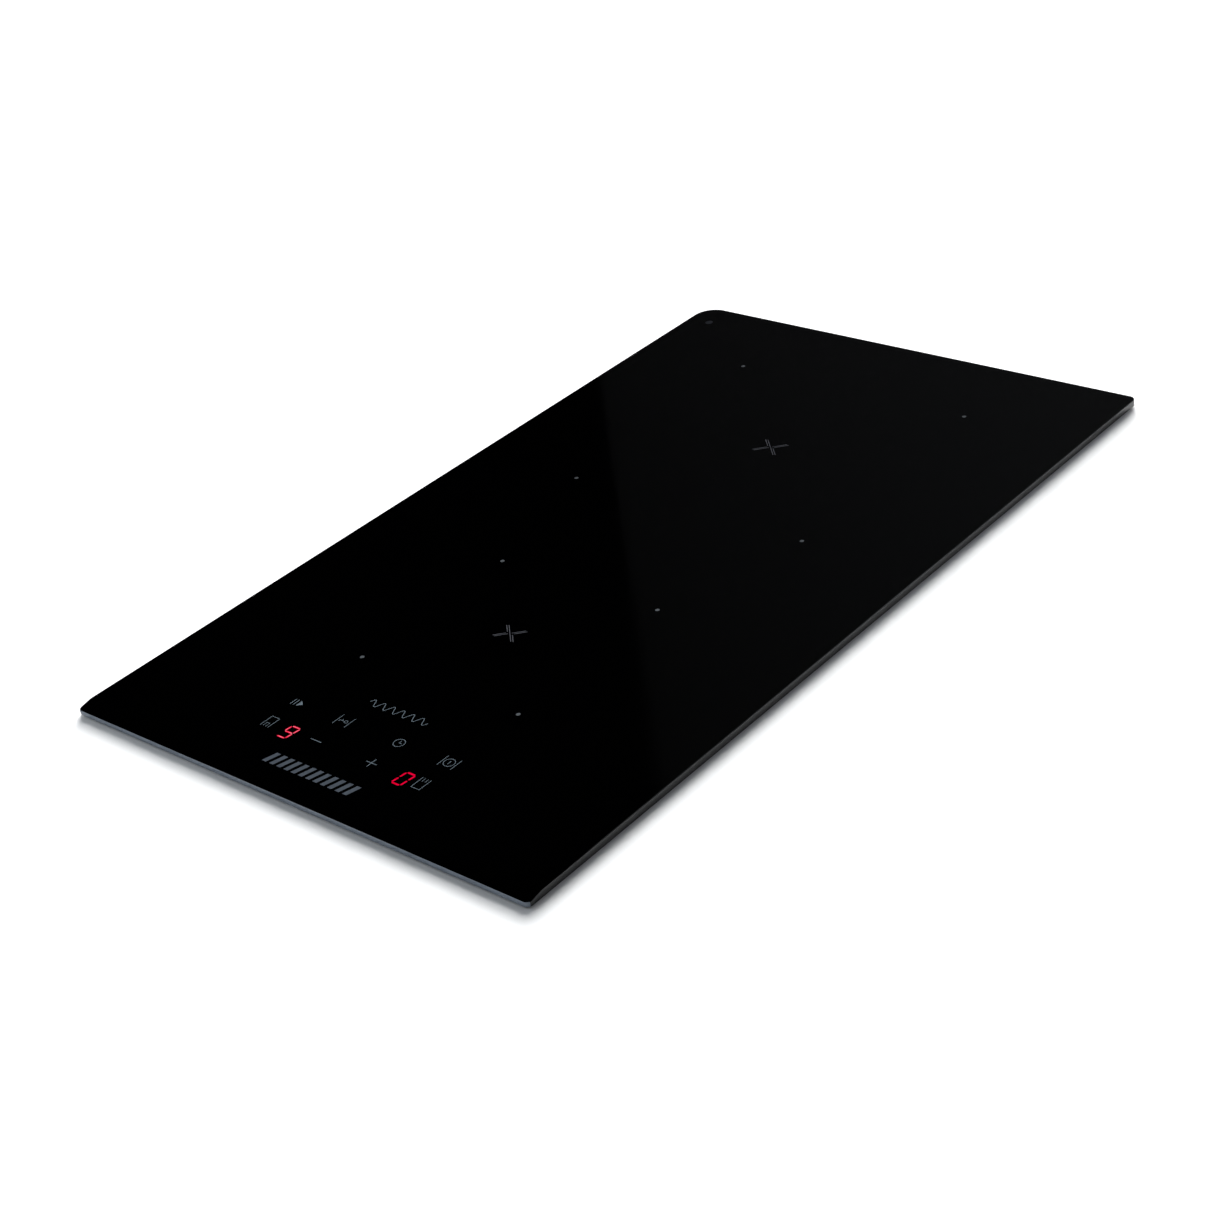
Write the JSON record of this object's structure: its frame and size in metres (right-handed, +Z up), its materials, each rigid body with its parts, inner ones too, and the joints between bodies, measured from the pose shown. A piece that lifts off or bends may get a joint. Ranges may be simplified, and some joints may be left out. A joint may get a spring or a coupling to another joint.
{
  "type": "induction cooktop",
  "caption": "Narrow built-in induction cooktop: black glass plate with touch keys, coils and electronics in a shallow steel casing below.",
  "frame": {"origin": "middle of the casing's underside, below the middle of the glass", "axes": "+Z up through the glass, -Y towards the user and the touch keys, +X to the user's right"},
  "size_m": [0.3, 0.51, 0.058],
  "materials": {
    "black_glass": "polished",
    "silicone": "matt",
    "foam": "matt",
    "tray_steel": "spangled zinc",
    "aluminium": "mill",
    "former": "matt",
    "copper": "enamelled",
    "mica": "matt",
    "sensor": "matt",
    "black_plastic": "matt",
    "capacitor": "satin",
    "readout": "satin",
    "lead": "matt",
    "board": "satin",
    "white_plastic": "matt",
    "ribbon": "satin",
    "terminal": "matt",
    "rubber": "matt",
    "ferrite": "matt",
    "zinc_steel": "zinc plated"
  },
  "bodies": {
    "casing": {"bridge_rectifier": "black_plastic", "cable_inlet": "rubber", "casing_tray": "tray_steel", "clamp_screw_1": "zinc_steel", "clamp_screw_2": "zinc_steel", "clamp_screw_3": "zinc_steel", "clamp_screw_4": "zinc_steel", "coil_plate": "aluminium", "control_board": "board", "control_carrier": "white_plastic", "control_ribbon": "ribbon", "fan_housing": "black_plastic", "front_coil_former": "former", "front_coil_lead": "lead", "front_coil_winding": "copper", "front_ferrite_bar_1": "ferrite", "front_ferrite_bar_2": "ferrite", "front_ferrite_bar_3": "ferrite", "front_ferrite_bar_4": "ferrite", "front_mica_sheet": "mica", "front_power_transistor": "black_plastic", "front_resonant_capacitor": "capacitor", "front_zone_readout": "readout", "glass_bond": "silicone", "glass_top": "black_glass", "heat_sink": "aluminium", "link_capacitor": "capacitor", "mains_choke": "copper", "power_board": "board", "rear_coil_former": "former", "rear_coil_lead": "lead", "rear_coil_winding": "copper", "rear_ferrite_bar_1": "ferrite", "rear_ferrite_bar_2": "ferrite", "rear_ferrite_bar_3": "ferrite", "rear_ferrite_bar_4": "ferrite", "rear_ferrite_bar_5": "ferrite", "rear_ferrite_bar_6": "ferrite", "rear_mica_sheet": "mica", "rear_power_transistor": "black_plastic", "rear_resonant_capacitor": "capacitor", "rear_zone_readout": "readout", "terminal_block": "terminal", "touch_spring_front_zone": "zinc_steel", "touch_spring_lock": "zinc_steel", "touch_spring_minus": "zinc_steel", "touch_spring_pause": "zinc_steel", "touch_spring_plus": "zinc_steel", "touch_spring_power": "zinc_steel", "touch_spring_rear_zone": "zinc_steel", "touch_spring_timer": "zinc_steel", "worktop_seal": "foam"},
    "fan_rotor": {"fan_impeller": "black_plastic"},
    "terminal_flap": {"terminal_cover": "black_plastic"},
    "rear_sensor": {"rear_temperature_sensor": "sensor"},
    "front_sensor": {"front_temperature_sensor": "sensor"},
    "clamp_arm_1": {"worktop_clamp_1": "zinc_steel"},
    "clamp_arm_2": {"worktop_clamp_2": "zinc_steel"},
    "clamp_arm_3": {"worktop_clamp_3": "zinc_steel"},
    "clamp_arm_4": {"worktop_clamp_4": "zinc_steel"}
  },
  "joints": [
    {"name": "fan_spin", "type": "hinge", "parent": "casing", "child": "fan_rotor", "pos_m": [-0.06, 0.166, 0.013], "axis": [0, 0, 1], "continuous": true},
    {"name": "terminal_cover_open", "type": "hinge", "parent": "casing", "child": "terminal_flap", "pos_m": [0.07, 0.246, 0.0045], "axis": [-1, 0, 0], "range_deg": [0, 90]},
    {"name": "clamp_swing_1", "type": "hinge", "parent": "casing", "child": "clamp_arm_1", "pos_m": [-0.1195, -0.168, 0.005], "axis": [0, 0, 1], "range_deg": [0, 90]},
    {"name": "clamp_swing_2", "type": "hinge", "parent": "casing", "child": "clamp_arm_2", "pos_m": [-0.1195, 0.132, 0.005], "axis": [0, 0, 1], "range_deg": [0, 90]},
    {"name": "clamp_swing_3", "type": "hinge", "parent": "casing", "child": "clamp_arm_3", "pos_m": [0.1195, -0.168, 0.005], "axis": [0, 0, -1], "range_deg": [0, 90]},
    {"name": "clamp_swing_4", "type": "hinge", "parent": "casing", "child": "clamp_arm_4", "pos_m": [0.1195, 0.132, 0.005], "axis": [0, 0, -1], "range_deg": [0, 90]},
    {"name": "rear_sensor_press", "type": "slide", "parent": "casing", "child": "rear_sensor", "axis": [0, 0, -1], "range_m": [0, 0.002], "stiffness_N_per_m": 100, "springref_m": -0.003},
    {"name": "front_sensor_press", "type": "slide", "parent": "casing", "child": "front_sensor", "axis": [0, 0, -1], "range_m": [0, 0.002], "stiffness_N_per_m": 100, "springref_m": -0.003}
  ]
}
